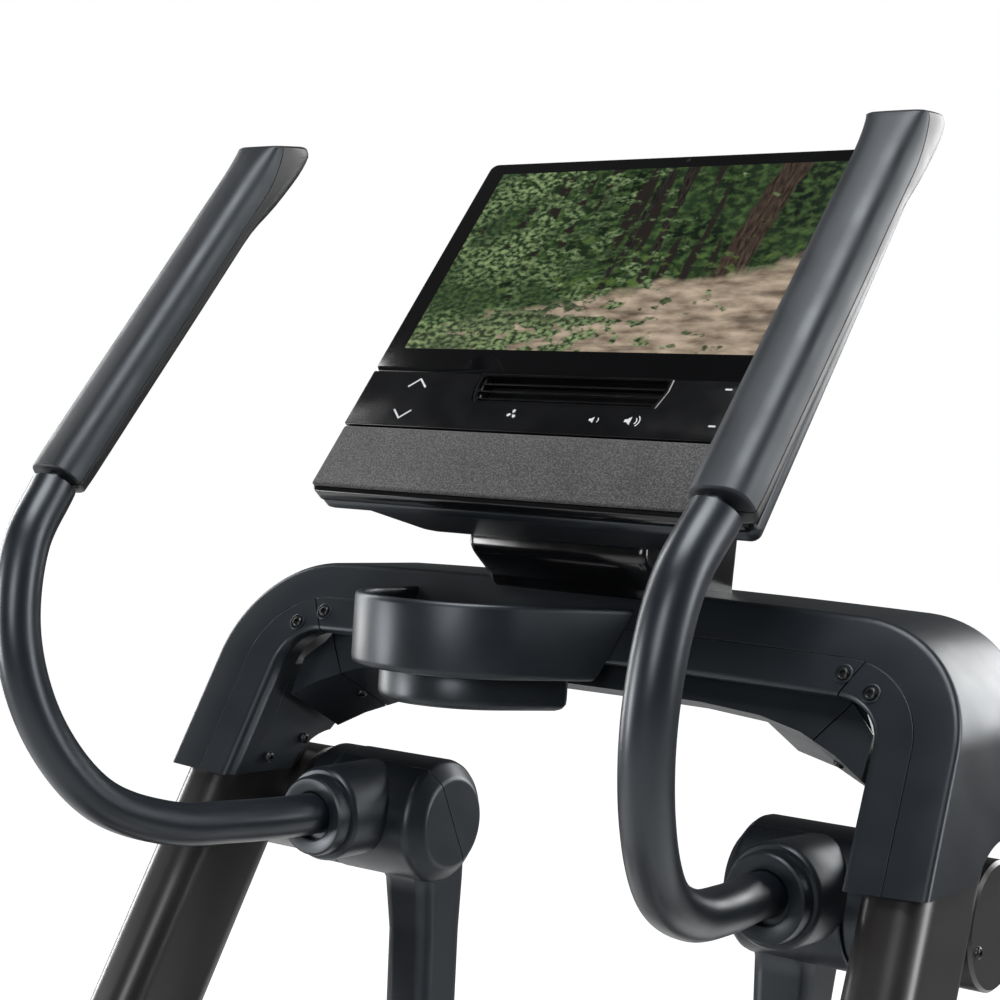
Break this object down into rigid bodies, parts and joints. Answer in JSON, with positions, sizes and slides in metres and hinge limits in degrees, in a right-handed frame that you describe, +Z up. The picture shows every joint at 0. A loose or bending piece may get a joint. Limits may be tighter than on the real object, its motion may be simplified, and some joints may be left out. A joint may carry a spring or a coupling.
{
  "type": "elliptical trainer",
  "caption": "Elliptical trainer with a leaning arch frame, a tilted screen console, swinging handle arms, pedal beams on a belt-driven crank, and a lift leg that sets the incline.",
  "frame": {"origin": "on the floor, midway between the ends of the machine and on its middle plane", "axes": "+Z up, +Y the way the user faces, +X to the user's right"},
  "size_m": [0.744, 1.3997, 1.7579],
  "materials": {
    "frame_paint": "satin black paint",
    "tube_paint": "satin blue-black powder coat",
    "cover_plastic": "satin charcoal moulding",
    "gloss_black": "polished black",
    "display": "black glass over the screen",
    "speaker_fabric": "speckled woven cloth",
    "grip_rubber": "matte",
    "grip_trim": "matte, darker",
    "steel": "machined",
    "iron": "turned",
    "belt": "ribbed",
    "tread": "textured"
  },
  "bodies": {
    "frame": {"arch_corner_cover_left": "cover_plastic", "arch_corner_cover_right": "cover_plastic", "arch_lower_cover": "cover_plastic", "arch_outer_cover": "cover_plastic", "base_rail": "frame_paint", "bottle_tray": "cover_plastic", "console_back_shell": "gloss_black", "console_mast": "gloss_black", "console_mid_frame": "gloss_black", "control_deck": "gloss_black", "crossbar_tube": "frame_paint", "cup_insert": "cover_plastic", "display_glass": "display", "drive_belt": "belt", "drive_bracket": "frame_paint", "front_cross_tube": "frame_paint", "housing_left": "cover_plastic", "housing_right": "cover_plastic", "lift_sleeve": "frame_paint", "pivot_axle_left": "cover_plastic", "pivot_axle_right": "cover_plastic", "power_inlet": "gloss_black", "rear_stabilizer": "frame_paint", "speaker_panel": "speaker_fabric", "strut_left": "frame_paint", "strut_right": "frame_paint", "upright_inner_cover_left": "cover_plastic", "upright_inner_cover_right": "cover_plastic", "upright_left": "frame_paint", "upright_right": "frame_paint", "vent_grille": "gloss_black"},
    "arm_right": {"hub_cap_shell_right": "cover_plastic", "hub_base_shell_right": "cover_plastic", "handle_socket_right": "cover_plastic", "handle_tube_right": "tube_paint", "grip_front_right": "grip_rubber", "grip_back_right": "grip_trim", "lower_arm_right": "tube_paint"},
    "arm_left": {"hub_cap_shell_left": "cover_plastic", "hub_base_shell_left": "cover_plastic", "handle_socket_left": "cover_plastic", "handle_tube_left": "tube_paint", "grip_front_left": "grip_rubber", "grip_back_left": "grip_trim", "lower_arm_left": "tube_paint"},
    "beam_right": {"pedal_beam_right": "tube_paint", "pedal_right": "tread"},
    "beam_left": {"pedal_beam_left": "tube_paint", "pedal_left": "tread"},
    "crank": {"drive_pulley": "steel", "crank_arm_right": "steel", "crank_arm_left": "steel"},
    "flywheel": {"flywheel": "iron"},
    "fan": {"cooling_fan": "cover_plastic"},
    "lift": {"lift_leg": "frame_paint"},
    "wheel_right": {"transport_wheel_right": "tread"},
    "wheel_left": {"transport_wheel_left": "tread"},
    "foot_right": {"leveling_foot_right": "tread"},
    "foot_left": {"leveling_foot_left": "tread"}
  },
  "joints": [
    {"name": "crank_turn", "type": "hinge", "parent": "frame", "child": "crank", "pos_m": [0, 0.44, 0.341], "axis": [-1, 0, 0], "range_deg": [0, 100]},
    {"name": "flywheel_spin", "type": "hinge", "parent": "frame", "child": "flywheel", "pos_m": [0, 0.5, 0.72], "axis": [-1, 0, 0], "continuous": true},
    {"name": "arm_right_swing", "type": "hinge", "parent": "frame", "child": "arm_right", "pos_m": [0.17, 0.047, 1.2735], "axis": [1, 0, 0], "range_deg": [0, 8.04]},
    {"name": "arm_left_swing", "type": "hinge", "parent": "frame", "child": "arm_left", "pos_m": [-0.17, 0.047, 1.2735], "axis": [1, 0, 0], "range_deg": [-10.63, 0]},
    {"name": "beam_right_pitch", "type": "hinge", "parent": "arm_right", "child": "beam_right", "pos_m": [0.15, 0.03782, 0.33995], "axis": [1, 0, 0], "range_deg": [-27.88, 0]},
    {"name": "beam_left_pitch", "type": "hinge", "parent": "arm_left", "child": "beam_left", "pos_m": [-0.15, 0.08111, 0.34053], "axis": [1, 0, 0], "range_deg": [0, 27.95]},
    {"name": "lift_slide", "type": "slide", "parent": "frame", "child": "lift", "axis": [0, 0, -1], "range_m": [-0.02, 0.06]},
    {"name": "wheel_right_roll", "type": "hinge", "parent": "lift", "child": "wheel_right", "pos_m": [0.228, 0.666, 0.034], "axis": [1, 0, 0], "continuous": true},
    {"name": "wheel_left_roll", "type": "hinge", "parent": "lift", "child": "wheel_left", "pos_m": [-0.228, 0.666, 0.034], "axis": [1, 0, 0], "continuous": true},
    {"name": "foot_right_level", "type": "slide", "parent": "frame", "child": "foot_right", "axis": [0, 0, -1], "range_m": [-0.005, 0.015]},
    {"name": "foot_left_level", "type": "slide", "parent": "frame", "child": "foot_left", "axis": [0, 0, -1], "range_m": [-0.005, 0.015]},
    {"name": "fan_spin", "type": "hinge", "parent": "frame", "child": "fan", "pos_m": [0, 0.0133, 1.5596], "axis": [0, -0.7944, 0.6074], "continuous": true}
  ],
  "couplings": [
    {"joint": "flywheel_spin", "follows": "crank_turn", "ratio": 6.2727},
    {"joint": "arm_right_swing", "follows": "crank_turn", "ratio": 0.08038},
    {"joint": "arm_left_swing", "follows": "crank_turn", "ratio": -0.10627},
    {"joint": "beam_right_pitch", "follows": "crank_turn", "ratio": -0.27875},
    {"joint": "beam_left_pitch", "follows": "crank_turn", "ratio": 0.27941}
  ]
}
